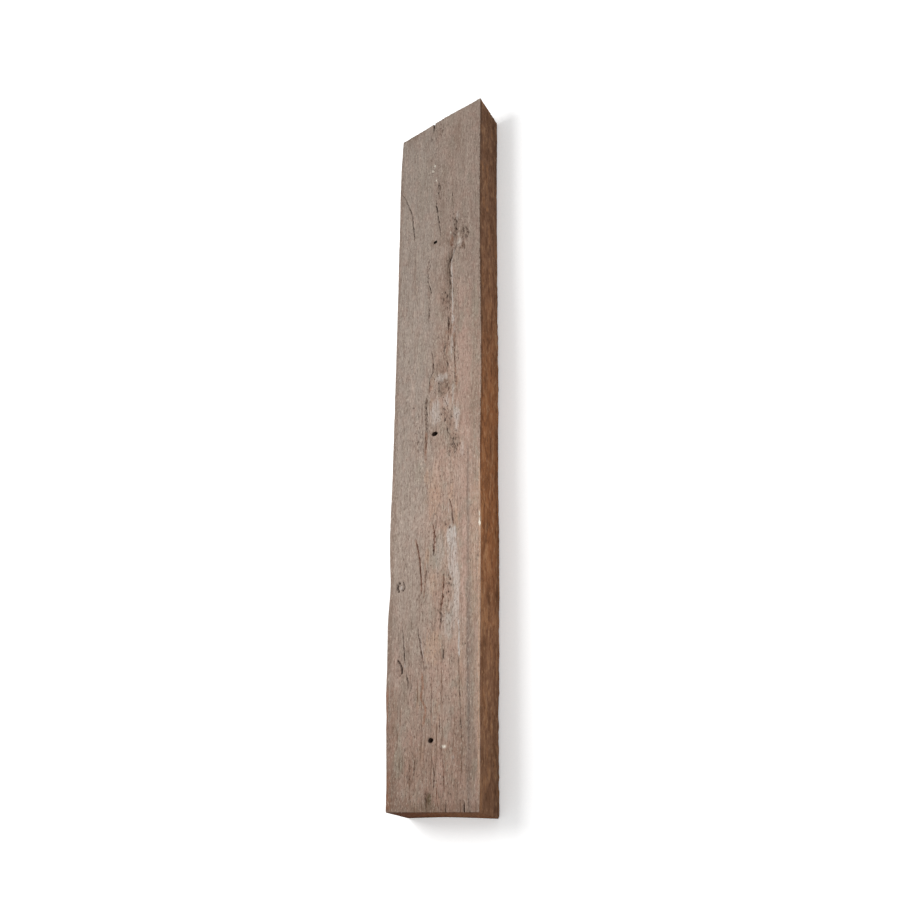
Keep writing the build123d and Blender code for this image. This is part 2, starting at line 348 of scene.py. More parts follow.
def cracks(x, y):
    """The deepest vee of all the checks and splits at x, y, and the lips of those beside it."""
    vee, lip = np.zeros(x.shape), np.zeros(x.shape)
    for number, check in enumerate(checks):
        this_vee, this_lip = check_shape(check, x, y, check_seed + 4 * number)
        vee, lip = np.maximum(vee, this_vee), np.maximum(lip, this_lip)
    for split in splits:
        vee = np.maximum(vee, split_shape(split, x, y))
    return vee, lip * (vee == 0)


def worn_places(x, y):
    """How deep the hollows and torn bands go at x, y, and how far x, y lies inside one."""
    eaten, rough = np.zeros(x.shape), np.zeros(x.shape)
    for number, hollow in enumerate(hollows):
        oval = ragged_oval(x, y, hollow, hollow_seed + 2 * number)
        eaten, rough = np.maximum(eaten, oval * hollow.depth), np.maximum(rough, oval)
    for number, ledge in enumerate(ledges):
        ramp = ledge_shape(ledge, x, y, ledge_seed + 3 * number)
        eaten, rough = np.maximum(eaten, ramp * ledge.drop), np.maximum(rough, ramp)
    return eaten, rough


def pitting(x, y):
    """How far x, y lies in a pit: 1 at its middle and 0 outside an oval of a random size."""
    pitted = np.zeros(x.shape)
    sizes = np.random.default_rng(pit_seed).uniform(0.6, 1.2, (len(pits), 2))
    for (pit_x, pit_y), (run, gap) in zip(pits, sizes):
        radius = np.hypot((x - pit_x) / (pit_half_long * run), (y - pit_y) / (pit_half_wide * gap))
        pitted = np.maximum(pitted, 1 - step_up(0.3, 1.0, radius))
    return pitted


# How deep each small form of its face goes, how high a lip stands, how wide the groove is, how far
# apart the grain's dark lines run, and how deep a crack has to be for its painted shade to be full
skin_depth, pit_depth, nick_depth, line_depth = 0.15, 2.4, 0.6, 0.55
groove_depth, groove_half_wide, lip_height = 0.8, 2.6, 0.3
line_gap, full_shade_depth = 8.5, 2.0
FaceMarks = namedtuple("FaceMarks", "sink crevice line lip")


def face_marks(x, y):
    """The weathered face at x, y: its depth below the sawn face, as the sum of ridged grain noise
    and all its marks, with masks of the painted shade in its cracks, pits and nicks, of the grain
    lines, and of the lips, which get a painted highlight."""
    vee, lip = cracks(x, y)
    eaten, rough = worn_places(x, y)
    pitted, torn, grain = pitting(x, y), torn_zone(x, y), grain_across(x, y)
    ridges = 0.40 * np.abs(lattice(x / 150, grain / 5.5, 22))
    ridges = ridges + 0.16 * (1 + lattice(x / 42, grain / 2.3, 23))
    cupping = 0.35 * (1 + lattice(x / 260, y / 70, 24))
    nearness = 1 - step_up(150, 420, x)
    lines = growth_lines(x, grain, line_gap, 60) * (0.20 + 0.45 * torn + 0.35 * nearness)
    nicks = step_up(0.50, 0.85, lattice(x / 7.5, grain / 2.1, 28))
    nicks = nicks * (0.20 + 0.55 * torn) * (1 - 0.6 * nearness)
    shreds = rough * (0.5 + 0.8 * lattice(x / 10, grain / 2.8, 25))
    groove = np.exp(-((y - through(groove_line, x)) / groove_half_wide) ** 2) * (1 - step_up(620, 690, x))
    sink = (skin_depth + ridges + cupping + vee + eaten + pit_depth * pitted + nick_depth * nicks
            + line_depth * lines + np.clip(shreds, 0, 2) + groove_depth * groove - lip_height * lip)
    # Painted shade, stronger the deeper a crack goes, and in the pits and nicks
    crevice = np.clip(vee / full_shade_depth, 0, 1) + 0.95 * pitted + 0.40 * nicks
    return FaceMarks(np.maximum(sink, 0.02), np.clip(crevice, 0, 1), lines, lip)


# Its skin: rings of points round the board, close enough across the face to shape its checks, set
# one after another from the near saw cut to the far one. Marks crowd at the corners and ends, at
# these distances from them in millimetres.
face_cells, right_cells, under_cells, left_cells = 172, 26, 22, 16
station_count = 378
corner_marks = np.array([0.0, 0.7, 1.7, 3.0])
end_marks = np.array([0.0, 1.2, 3.2])


def side_marks(size, cells):
    """Shares of one side: marks crowded at both its corners and even between them."""
    inner = np.linspace(corner_marks[-1], size - corner_marks[-1], cells - 2 * len(corner_marks) + 3)
    return np.concatenate([corner_marks[:-1], inner, size - corner_marks[-2:0:-1]]) / size


# The sides in the order that a ring goes round them
sides = ((width_near, under_cells), (thickness_near, right_cells), (width_near, face_cells),
         (thickness_near, left_cells))
under_side, face_side = 0, 2
ring_share = np.concatenate([side_marks(size, cells) for size, cells in sides])
ring_side = np.repeat(np.arange(4), [cells for _, cells in sides])
ring_count = len(ring_side)
inner_count = station_count - 2 * (len(end_marks) - 1)
inner_stations = np.linspace(end_marks[-1], length - end_marks[-1], inner_count)
stations = np.concatenate([end_marks[:-1], inner_stations, length - end_marks[-2::-1]]) / length

# The saw cuts slant, so each point's x depends on its y and z, and a few rounds settle them
along = np.repeat(stations[:, None], ring_count, axis=1)
x = along * length
for _ in range(3):
    left_y, right_y = side_place(left_waves, x, 1), side_place(right_waves, x, -1)
    top_z = face_height(x)
    y = np.choose(ring_side, [left_y + (right_y - left_y) * ring_share, right_y,
                              right_y + (left_y - right_y) * ring_share, left_y])
    z = np.choose(ring_side, [0 * x, top_z * ring_share, top_z, top_z * (1 - ring_share)])
    x = near_cut(y, z) * (1 - along) + far_cut(y, z) * along

# Each point near a corner goes on to an arc about the section shrunk by the corner's radius
uneven = 1 + 0.25 * lattice(x / 37, 0 * x, 11) + 0.20 * lattice(x / 9, 0 * x, 12)
upper_wear = np.where(y > 0, through(left_wear, along), through(right_wear, along))
lower_wear = np.where(y > 0, through(lower_left_wear, along), through(lower_right_wear, along))
radius = np.where(z > top_z / 2, upper_wear, lower_wear) * uneven
inner_y = np.clip(y, right_y + radius, left_y - radius)
inner_z = np.clip(z, radius, top_z - radius)
reach = np.hypot(y - inner_y, z - inner_z)
out_y, out_z = (y - inner_y) / reach, (z - inner_z) / reach
y, z = inner_y + out_y * radius, inner_z + out_z * radius
on_face, on_under = np.clip(out_z, 0, 1) ** 2, np.clip(-out_z, 0, 1) ** 2
on_right, on_left = np.clip(-out_y, 0, 1) ** 2, np.clip(out_y, 0, 1) ** 2

# Each point then sinks below the sawn size: by the marks of the face, by ridges and dashes of the
# grain on the sides, by a chip on the right-hand corner and by the wear of the ends
chip_x, chip_half_long, chip_half_high, chip_depth = 541, 12, 5, 1.8
end_wear_reach, end_wear_depth = 2.8, 0.8
marks = face_marks(x, y)
side_grain = z + 1.5 * lattice(x / 120, z / 25, 34)
side_ridges = 0.22 * (1 + lattice(x / 60, side_grain / 3.5, 31)) + 0.15 * np.abs(lattice(x / 9, z / 30, 32))
side_dashes = step_up(0.45, 0.8, lattice(x / 10, side_grain / 3.2, 35))
side_sink = 0.12 + side_ridges + 0.5 * side_dashes + 0.25 * (1 + lattice(x / 200, z / 40, 33))
from_chip = np.hypot((x - chip_x) / chip_half_long, (z - top_z) / chip_half_high)
chip = (1 - step_up(0.4, 1.0, from_chip)) * (y < 0)
from_end = np.minimum(along, 1 - along) * length
end_wear = end_wear_depth * (1 - step_up(0, end_wear_reach, from_end))
end_wear = end_wear * (1 + 0.7 * lattice((y + z) / 5, z / 7, 41))
sink = on_face * marks.sink + (1 - on_face) * side_sink + chip_depth * chip + end_wear
ring_y, ring_z = y - out_y * sink, z - out_z * sink

# Its saw cuts: the last ring drawn in towards the middle, sunk by ridges that follow the blade.
# Each share says how much of the edge's size a ring keeps.
cap_shares = 1 - np.array([0.010, 0.03, 0.07, 0.13, 0.20, 0.28, 0.37, 0.47, 0.58, 0.70, 0.82, 0.93])


def cap_points(edge_y, edge_z, cut, inward):
    """The rings of an end and its middle point. A ring is the edge scaled by a share towards the
    middle, and it lies on the saw cut, less ridges that are waves across it at a slant."""
    middle_y, middle_z = edge_y.mean(), (edge_z.min() + edge_z.max()) / 2
    cap_y = np.append((middle_y + cap_shares[:, None] * (edge_y - middle_y)).ravel(), middle_y)
    cap_z = np.append((middle_z + cap_shares[:, None] * (edge_z - middle_z)).ravel(), middle_z)
    ridge = 0.55 * np.abs(lattice((cap_y + 0.25 * cap_z) / 3.4, cap_z / 40, 51))
    rough = 0.35 * (1 + lattice(cap_y / 10, cap_z / 10, 52))
    return np.stack([cut(cap_y, cap_z) + inward * (0.15 + ridge + rough), cap_y, cap_z], axis=1)


near_cap = cap_points(ring_y[0], ring_z[0], near_cut, 1)
far_cap = cap_points(ring_y[-1], ring_z[-1], far_cut, -1)

# Its spike holes: a block of face cells gives way to rings that close from the block's edge to a
# torn mouth, then go down the bore to the edge of a block taken out of the underside. A hole's
# mouth is given by its half sizes along and across the board.
SpikeHole = namedtuple("SpikeHole", "x y mouth_long mouth_wide")
spike_holes = [SpikeHole(127, 4, 4.6, 5.6), SpikeHole(735, 6, 4.4, 7.8), SpikeHole(1182, 11, 3.4, 4.0)]
block_half, bore_radius, mouth_seed = 9.5, 5.0, 70
# How deep the mouth has passed into the bore, how deep a ring's points stand evenly round it, and
# how high over the floor the lowest ring lies
mouth_depth, even_depth, foot_height = 4.0, 60.0, 0.5
# Rings in to the mouth, as the share of the way, the drop below the face and the painted shade,
# and the depths of the rings down the bore
mouth_rings = [(0.45, 0.0, 0.0), (0.8, 0.0, 0.15), (1.0, 0.5, 0.8)]
bore_depths = [1.6, 3.2, 6.0, 12.0, 22.0, 34.0, 46.0, 58.0, 68.0]


def block_loop(hole, side_index):
    """The point numbers in order round the block of cells about a hole, on one side of the board,
    and a mask of those cells. The block is a cell wider each way than the nearby points."""
    columns = np.flatnonzero(ring_side == side_index)
    rows_near = np.abs(x[:, columns[len(columns) // 2]] - hole.x) < block_half
    first_row, last_row = np.flatnonzero(rows_near)[[0, -1]] + np.array([-1, 1])
    row = (first_row + last_row) // 2
    columns_near = np.abs(ring_y[row, columns] - hole.y) < block_half
    first_column, last_column = columns[np.flatnonzero(columns_near)[[0, -1]]] + np.array([-1, 1])
    across, down = np.arange(first_column, last_column), np.arange(first_row, last_row)
    loop_rows = np.concatenate([0 * across + first_row, down, 0 * across + last_row, down[::-1] + 1])
    loop_ring = np.concatenate([across, 0 * down + last_column, across[::-1] + 1, 0 * down + first_column])
    block = np.zeros((len(stations) - 1, ring_count), bool)
    block[first_row:last_row, first_column:last_column] = True
    return loop_rows * ring_count + loop_ring, block


def hole_rings(hole, loop_x, loop_y, seed):
    """Rings of points from a loop on the face, in to the mouth and down the bore, with their angles
    at the foot. The mouth is an oval with a torn edge; the bore is round and roughened by noise."""
    angle = np.unwrap(np.arctan2(loop_y - hole.y, loop_x - hole.x))
    even_angle = angle[0] - 2 * np.pi * np.arange(len(angle)) / len(angle)
    torn = 1 + 0.14 * lattice(angle / 0.55 + 40, 0 * angle, seed)
    torn = torn + 0.07 * lattice(angle / 0.2 + 90, 0 * angle, 80)
    mouth_x, mouth_y = hole.mouth_long * torn * np.cos(angle), hole.mouth_wide * torn * np.sin(angle)
    rings = []
    for share, drop, _ in mouth_rings:
        at_x = loop_x + share * (hole.x + mouth_x - loop_x)
        at_y = loop_y + share * (hole.y + mouth_y - loop_y)
        sunk = face_marks(at_x, at_y).sink * (1 - 0.7 * share) + 0.4 * share + drop
        rings.append(np.stack([at_x, at_y, face_height(at_x) - sunk], axis=1))
    for depth in bore_depths:
        widen = np.clip(1 - depth / mouth_depth, 0, 1)
        turned = angle + (even_angle - angle) * np.clip(depth / even_depth, 0, 1)
        rough = bore_radius * (1 + 0.05 * lattice(turned * 2 + 60, 0 * angle + depth / 5, 75))
        at_x = hole.x + widen * mouth_x + (1 - widen) * rough * np.cos(turned)
        at_y = hole.y + widen * mouth_y + (1 - widen) * rough * np.sin(turned)
        rings.append(np.stack([at_x, at_y, face_height(at_x) - depth], axis=1))
    rings.append(np.stack([at_x, at_y, 0 * at_x + foot_height], axis=1))
    return rings, even_angle


def quads_between(lower, upper):
    """Quads between two closed rings of point numbers."""
    return np.stack([lower, upper, np.roll(upper, -1), np.roll(lower, -1)], axis=-1)


def zip_between(fine, fine_angle, coarse, coarse_angle):
    """Quads and triangles between a closed ring and one of fewer points: each fine point joins the
    coarse point whose angle is nearest, and a triangle closes each place where two share one."""
    apart = np.abs(np.angle(np.exp(1j * (fine_angle[:, None] - coarse_angle[None, :]))))
    partner = coarse[np.argmin(apart, axis=1)]
    next_fine, next_partner = np.roll(fine, -1), np.roll(partner, -1)
    same = partner == next_partner
    fans = np.stack([fine, partner, next_fine], axis=-1)[same]
    return np.stack([fine, partner, next_partner, next_fine], axis=-1)[~same], fans


# Its faces: between the rings of the skin, over both ends and down each hole, with the cells of
# the holes' blocks left out
ring_numbers = np.arange(len(stations) * ring_count).reshape(-1, ring_count)
skin = np.stack([quads_between(a, b) for a, b in zip(ring_numbers[:-1], ring_numbers[1:])])
points = [np.stack([x.ravel(), ring_y.ravel(), ring_z.ravel()], axis=1), near_cap, far_cap]
point_count = len(ring_numbers.ravel()) + len(near_cap) + len(far_cap)
quads, triangles, kept = [], [], np.ones(skin.shape[:2], bool)

for edge, first, outward in ((ring_numbers[0], ring_numbers.size, False),
                             (ring_numbers[-1], ring_numbers.size + len(near_cap), True)):
    rows = np.arange(len(cap_shares) * ring_count).reshape(-1, ring_count) + first
    rows = np.concatenate([edge[None, :], rows])
    cap = np.concatenate([quads_between(a, b) for a, b in zip(rows[:-1], rows[1:])])
    middle = np.full(ring_count, first + len(near_cap) - 1)
    fan = np.stack([rows[-1], middle, np.roll(rows[-1], -1)], axis=-1)
    quads.append(cap if outward else cap[:, ::-1])
    triangles.append(fan if outward else fan[:, ::-1])

bore_points, bore_shade = [], []
for number, hole in enumerate(spike_holes):
    upper_loop, upper_block = block_loop(hole, face_side)
    lower_loop, lower_block = block_loop(hole, under_side)
    kept &= ~(upper_block | lower_block)
    rings, foot_angle = hole_rings(hole, *points[0][upper_loop, :2].T, mouth_seed + number)
    numbers = point_count + np.arange(len(rings) * len(upper_loop)).reshape(len(rings), -1)
    point_count += numbers.size
    bore_points += rings
    # Painted shade down each hole: growing in to the mouth and full down the bore
    ring_shade = [dark for _, _, dark in mouth_rings] + [1.0] * (len(rings) - len(mouth_rings))
    bore_shade.append(np.repeat(ring_shade, len(upper_loop)))
    chain = np.concatenate([upper_loop[None, :], numbers])
    quads += [quads_between(a, b) for a, b in zip(chain[:-1], chain[1:])]
    lower_x, lower_y = points[0][lower_loop, :2].T
    lower_angle = np.arctan2(lower_y - hole.y, lower_x - hole.x)
    foot_quads, foot_triangles = zip_between(numbers[-1], foot_angle, lower_loop[::-1], lower_angle[::-1])
    quads.append(foot_quads)
    triangles.append(foot_triangles)
quads.append(skin[kept])
points = np.concatenate(points + bore_points)
bore_shade = np.concatenate(bore_shade)

# The middle of its box in these millimetres: the row's origin lies under it
box_middle = np.array([753.43, 2.71, 0.0])


def make_mesh(name, vertices, faces):
    """A mesh object at the origin from an array of points and a list of face arrays."""
    mesh = bpy.data.meshes.new(name)
    mesh.from_pydata(vertices.tolist(), [], [face for block in faces for face in block.tolist()])
    mesh.update()
    piece = bpy.data.objects.new(name, mesh)
    bpy.context.collection.objects.link(piece)
    return piece


plank = make_mesh("weathered_plank", (points - box_middle) * MM, quads + triangles)
plank.data.polygons.foreach_set("use_smooth", np.ones(len(plank.data.polygons), bool))

# Its stains, with a few painted highlights among them. Each has a colour as the eye sees it, ovals
# drawn out along the grain, and strokes along a line; each lies over the ones before it. The weather
# laid the stains, and the painted highlights are named where they stand.
Patch = namedtuple("Patch", "x y long wide strength")
Stroke = namedtuple("Stroke", "line wide strength")
Stain = namedtuple("Stain", "name colour patches strokes")


def stained(name, colour, patches, strokes):
    """A stain from plain rows of its ovals and strokes, in the order of their values."""
    return Stain(name, colour, [Patch(*row) for row in patches], [Stroke(*row) for row in strokes])


stains = [
    stained("greenish", (141, 133, 117), [
        (660, 40, 56, 28, 0.5), (97, 75, 76, 26, 0.85), (490, -10, 78, 28, 0.6),
        (1340, 40, 180, 50, 0.2), (1010, -88, 120, 18, 0.45), (830, -88, 280, 17, 0.45),
        (10, 14, 20, 76, 0.6), (920, 40, 90, 24, 0.25), (190, 62, 60, 24, 0.3), (310, 55, 90, 24, 0.3),
    ], [
        ([(480, -82), (400, -83), (200, -86), (0, -88)], 10, 0.45),
    ]),
    stained("slate", (108, 97, 90), [
        (1110, 70, 120, 40, 0.15), (300, 60, 50, 14, 0.2),
    ], [
        ([(720, -73), (520, -74), (370, -75)], 6, 0.65), ([(420, -76), (251, -76), (100, -80)], 8, 0.9),
        ([(400, -79), (251, -80), (115, -83)], 11, 0.4),
        ([(460, -76), (400, -77), (330, -78)], 11, 0.35), ([(130, -79), (57, -78), (0, -80)], 12, 0.55),
        ([(1330, -18), (1262, -22)], 6, 0.2),
    ]),
    stained("tan", (190, 154, 128), [
        (600, 4, 96, 34, 0.42), (640, 0, 90, 36, 0.3), (300, 4, 74, 40, 0.5), (540, -90, 190, 12, 0.3),
        (604, -36, 36, 14, 0.4), (480, 18, 40, 12, 0.62), (642, 23, 34, 10, 0.5),
        (552, -47, 64, 9, 0.55), (208, 34, 50, 10, 0.4), (850, 12, 40, 9, 0.4), (802, 15, 34, 10, 0.4),
        (846, -47, 34, 8, 0.4), (104, 24, 40, 12, 0.4), (240, -60, 130, 12, 0.3),
        (425, 5, 60, 18, 0.35),
    ], [
        # A painted highlight along the right-hand corner of the face
        ([(690, -99), (540, -100), (300, -99), (0, -98)], 5.0, 0.85),
        ([(620, -88), (500, -88), (320, -90)], 16, 0.32), ([(280, -92), (140, -92)], 10, 0.2),
    ]),
    stained("rosy", (178, 148, 135), [
        (880, -64, 190, 34, 0.85), (760, -64, 150, 30, 0.65), (640, -55, 160, 36, 0.6),
        (450, -66, 200, 14, 0.8), (660, -12, 90, 40, 0.5), (560, 0, 90, 50, 0.3),
        (265, 88, 110, 22, 0.4), (240, -4, 90, 60, 0.35), (820, 60, 100, 10, 0.2),
        (1030, -56, 60, 20, 0.35), (66, -17, 76, 18, 0.85), (140, -45, 60, 24, 0.3),
        (545, 25, 50, 30, 0.3), (1460, 60, 60, 30, 0.2),
    ], []),
    stained("brown", (112, 87, 71), [
        (1040, -11, 92, 22, 0.5), (881, -9, 48, 30, 0.55), (834, -16, 42, 32, 0.6),
        (1200, -41, 66, 14, 0.55), (1155, -57, 20, 14, 1.0), (1184, -66, 50, 14, 0.4),
        (978, -28, 44, 12, 0.65), (703, -43, 60, 24, 0.32), (1285, -32, 80, 12, 0.35),
        (430, -31, 60, 8, 0.25), (95, 45, 60, 26, 0.2), (22, 7, 40, 28, 0.35), (150, 95, 230, 22, 0.45),
        (126, -58, 120, 30, 0.62), (1466, 2, 44, 40, 0.25), (1170, -31, 30, 13, 1.0),
        (1184, -10, 44, 30, 0.45), (1179, 19, 22, 14, 0.55), (936, -12, 44, 16, 0.5),
        (942, -38, 30, 10, 0.75), (3, -5, 26, 200, 0.62), (30, 92, 100, 34, 0.8),
        (1484, 76, 44, 66, 0.58), (1438, -44, 90, 28, 0.55), (1200, -6, 40, 14, 0.35),
        (1098, 18, 40, 12, 0.35), (1335, -10, 70, 18, 0.42), (1188, -30, 34, 12, 0.65),
        (1072, -2, 56, 16, 0.4), (1189, -55, 42, 16, 0.55), (1119, -12, 40, 14, 0.5),
        (952, -20, 26, 10, 0.45), (762, -51, 50, 18, 0.4), (735, 14, 44, 18, 0.3),
        (782, -78, 90, 36, 0.38), (940, -93, 70, 16, 0.3), (11, 72, 38, 60, 0.7),
        (760, -24, 40, 24, 0.3), (1300, 4, 130, 16, 0.15), (1395, 28, 60, 16, 0.25),
        (293, -20, 36, 14, 0.4), (1370, -30, 120, 30, 0.2),
    ], [
        ([(1160, -38), (1139, -29), (1120, -24), (1095, -21), (1075, -24), (1050, -26)], 12, 0.62),
        ([(925, 15), (899, 12), (876, 12), (842, 19), (822, 24)], 6, 0.45),
        ([(1182, 62), (1139, 62), (1060, 60)], 7, 0.45), ([(810, -97), (710, -97)], 9, 0.4),
        ([(826, 24), (800, 28), (745, 26), (700, 27)], 7, 0.55),
        ([(1155, 27), (1090, 27), (1017, 23), (985, 24)], 6, 0.18),
        ([(935, -22), (898, -18), (862, -22)], 7, 0.5),
        ([(984, -37), (951, -40), (893, -41), (800, -48)], 5, 0.65),
        ([(1490, 103), (1100, 103), (700, 103), (240, 103)], 9, 0.45),
        ([(520, 101), (240, 101)], 10, 0.6), ([(1320, 101), (1250, 101)], 12, 0.45),
        ([(880, 102), (735, 102)], 14, 0.55), ([(630, 100), (555, 100)], 14, 0.4),
        ([(98, 52), (78, 48), (48, 50)], 7, 0.9), ([(108, 38), (67, 40), (48, 47)], 6, 0.9),
        ([(290, -54), (230, -57), (143, -62), (110, -61)], 4.5, 0.8),
        ([(260, 104), (160, 103), (40, 100)], 7, 0.55), ([(735, -26), (690, -46)], 8, 0.5),
    ]),
    stained("rust", (142, 92, 64), [
        (1169, -31, 26, 11, 0.45), (846, 18, 26, 8, 0.6), (958, -29, 18, 22, 0.5),
        (600, 8, 90, 24, 0.22), (536, -24, 26, 22, 0.25), (75, 45, 50, 14, 0.25),
        (50, 0, 180, 210, 0.21), (28, -11, 50, 12, 0.55), (172, -7, 80, 16, 0.32),
        (82, 54, 54, 18, 0.34), (82, -19, 54, 12, 0.3), (104, -30, 60, 18, 0.32), (24, 36, 54, 22, 0.3),
        (700, 27, 60, 6, 0.5), (60, 98, 140, 14, 0.3), (160, 88, 180, 18, 0.25),
    ], [
        ([(240, 104), (120, 104), (0, 102)], 7, 0.75), ([(80, 100), (40, 98), (2, 97)], 16, 0.8),
        ([(523, 47), (482, 38), (444, 32), (405, 30)], 6, 0.6),
        ([(545, 7), (518, 2), (487, 3)], 7, 0.55), ([(590, -32), (567, -38), (534, -40)], 5, 0.4),
        ([(442, -20), (392, -17), (368, -14)], 6, 0.55), ([(472, 23), (414, 23), (394, 25)], 5, 0.4),
        ([(257, 27), (230, 24), (201, 25), (195, 21), (150, 22)], 6, 0.9),
        ([(984, -25), (952, -24), (925, -22), (880, -22)], 5, 0.3),
        ([(984, -37), (951, -39), (893, -41), (815, -46)], 4, 0.35),
        ([(235, 83), (190, 83)], 3.5, 0.45), ([(745, 27), (714, 26), (688, 26)], 6, 0.75),
        ([(94, -20), (59, -25), (26, -24)], 4, 0.5), ([(632, 22), (588, 20)], 3, 0.35),
        ([(250, 4), (134, 3)], 3, 0.35), ([(340, 37), (293, 29), (256, 20)], 4, 0.2),
        ([(190, 72), (157, 73), (120, 87)], 3.5, 0.3), ([(110, 1), (60, -5), (36, -3)], 3.5, 0.3),
        ([(310, -14), (250, -17), (180, -20)], 3, 0.3), ([(60, -52), (45, -75)], 8, 0.3),
    ]),
    # pale: paler weathered wood, and painted highlights along the lips of the torn fissures and cracks
    stained("pale", (197, 192, 187), [
        (781, 5, 64, 22, 0.55), (857, -8, 18, 32, 0.6), (765, -46, 66, 14, 0.6),
        (1164, -48, 20, 14, 0.35), (1167, -47, 16, 9, 0.45), (1232, -44, 26, 10, 0.4),
        (984, -35, 26, 9, 0.7), (960, -38, 18, 9, 0.5), (925, -33, 60, 6, 0.6),
        (510, -36, 58, 26, 0.88), (462, -40, 90, 24, 0.66), (405, -49, 130, 16, 0.6),
        (360, -44, 70, 26, 0.4), (338, -32, 50, 26, 0.32), (350, -31, 26, 16, 0.45),
        (490, -10, 78, 28, 0.32), (95, -45, 8, 6, 0.6), (270, 66, 12, 7, 0.7), (425, 78, 10, 7, 0.5),
        (815, -37, 48, 6, 0.6), (802, -22, 34, 16, 0.45), (690, -60, 30, 8, 0.3),
    ], [
        # Painted highlights on the lips of the torn fissures and cracks
        ([(1153, -38), (1132, -33), (1115, -29), (1100, -31)], 5, 0.95),
        ([(1118, -29), (1100, -30), (1080, -33)], 6, 0.8),
        ([(1090, -32), (1043, -33), (990, -34)], 4.4, 0.95),
        ([(1034, -33), (1010, -34), (990, -34)], 5, 0.7),
        ([(352, -54), (320, -55), (298, -55), (274, -57)], 3.4, 1.0),
        ([(583, -28), (560, -30)], 3, 0.4), ([(325, 32), (300, 27), (278, 22)], 3, 0.35),
    ]),
    # white: painted highlights on the right-hand corner of the face and on lips and pale places by its
    # cracks and torn spots
    stained("white", (238, 231, 216), [
        (1376, 15, 5, 4.4, 1.0), (1365, 21, 7, 5.5, 1.0), (1337, 11, 5, 4.4, 0.9),
        (1345, 12, 4, 3, 0.5), (1195, -27, 5, 4.6, 0.8), (1166, -48, 10, 6, 0.45),
        (549, -99, 7, 5, 0.8), (535, -101, 18, 9, 1.0), (115, -24, 4, 13, 0.95), (802, -37, 12, 4, 0.5),
        (1186, -46, 10, 5, 0.25),
    ], []),
    stained("olive", (80, 66, 42), [(21, 7, 24, 17, 0.84), (9, 8, 12, 44, 0.3)], []),
    stained("speckled", (62, 44, 35), [
        (1040, -15, 96, 22, 0.38), (778, -22, 62, 26, 0.4), (705, -41, 54, 24, 0.75),
        (420, -30, 90, 12, 0.24), (508, 3, 66, 10, 0.95), (432, 21, 84, 7, 0.35),
        (358, -14, 46, 10, 0.8), (1290, 5, 130, 15, 0.45), (1395, 22, 60, 12, 0.4),
        (750, 46, 100, 26, 0.35), (1467, 0, 30, 18, 0.6),
    ], [
        ([(1236, -37), (1205, -39), (1184, -41)], 10, 0.9), ([(1202, -60), (1174, -68)], 13, 0.9),
        ([(1155, 27), (1090, 27), (1017, 23), (985, 24)], 7, 0.75),
        ([(826, 24), (800, 28), (745, 26), (690, 26)], 7, 0.8),
        ([(984, -37), (951, -40), (893, -41), (815, -47)], 6, 0.5),
        ([(1100, -21), (1000, -24)], 8, 0.3),
        ([(1490, -101), (1345, -100), (1195, -99.5), (1076, -101), (960, -103), (830, -103),
          (640, -101)], 4, 0.95),
    ]),
]
# Where each stain's random draws start, and how far after that its strokes' do
stain_seed, seeds_per_stain, first_stroke_seed = 500, 100, 60


def stroke_shape(stroke, x, y, seed):
    """How far x, y lies on a stroke: 1 along its line, 0 past its ragged edge and past its ends."""
    line = sorted(stroke.line)
    s = share_along(line, x)
    ragged = 0.25 * lattice(x / 11, y / 3, seed) + 0.2 * lattice(x / 4.5, y / 2, seed + 1)
    away = np.abs(y - through(line, x)) / (stroke.wide / 2)
    body = 1 - step_up(0.55, 1.20, away + ragged)
    return body * step_up(0, 0.10, s) * step_up(0, 0.10, 1 - s)


def stain_mask(stain, seed):
    """The strongest of a stain's ovals and strokes at each point of the plank's face."""
    mask = np.zeros(len(points))
    for number, patch in enumerate(stain.patches):
        oval = ragged_oval(px, py, patch, seed + 2 * number)
        mask = np.maximum(mask, patch.strength * oval)
    for number, stroke in enumerate(stain.strokes):
        shape = stroke_shape(stroke, px, py, seed + first_stroke_seed + 2 * number)
        mask = np.maximum(mask, stroke.strength * shape)
    return mask * face_weight


def paint(name, values):
    """Store a mask on the plank's points."""
    layer = plank.data.attributes.new(name, "FLOAT", "POINT")
    layer.data.foreach_set("value", values.astype(np.float32))


def on_points(skin, caps=0.0, bores=0.0):
    """A mask of all the plank's points, from values on its skin, its saw cuts and its bores."""
    return np.concatenate([skin.ravel(), np.full(cap_count, caps), np.zeros(len(bore_shade)) + bores])


px, py, pz = points.T
cap_count = len(near_cap) + len(far_cap)
face_weight = on_points(on_face, bores=1.0)
end_share = on_points(np.zeros(x.size), caps=1.0)
# How much painted shade the sides' dashes get, and how much of the sides' tone the underside and the left
# side have
dash_dark, under_sawn, left_sawn = 0.4, 0.9, 0.85
side_crevice = (1 - on_face) * np.clip(side_dashes, 0, 1) * dash_dark
# Painted shade in the face's cracks, pits and nicks, in the sides' sunk dashes and down the bores
paint("crevice", on_points(marks.crevice * on_face + side_crevice, bores=bore_shade))
paint("line", on_points(marks.line * on_face))
paint("lip", on_points(marks.lip * on_face))
paint("torn", torn_zone(px, py) * face_weight)
paint("sawn", on_points(on_right + on_under * under_sawn + on_left * left_sawn))
paint("end_grain", end_share)
for number, stain in enumerate(stains):
    paint(stain.name, stain_mask(stain, stain_seed + seeds_per_stain * number))

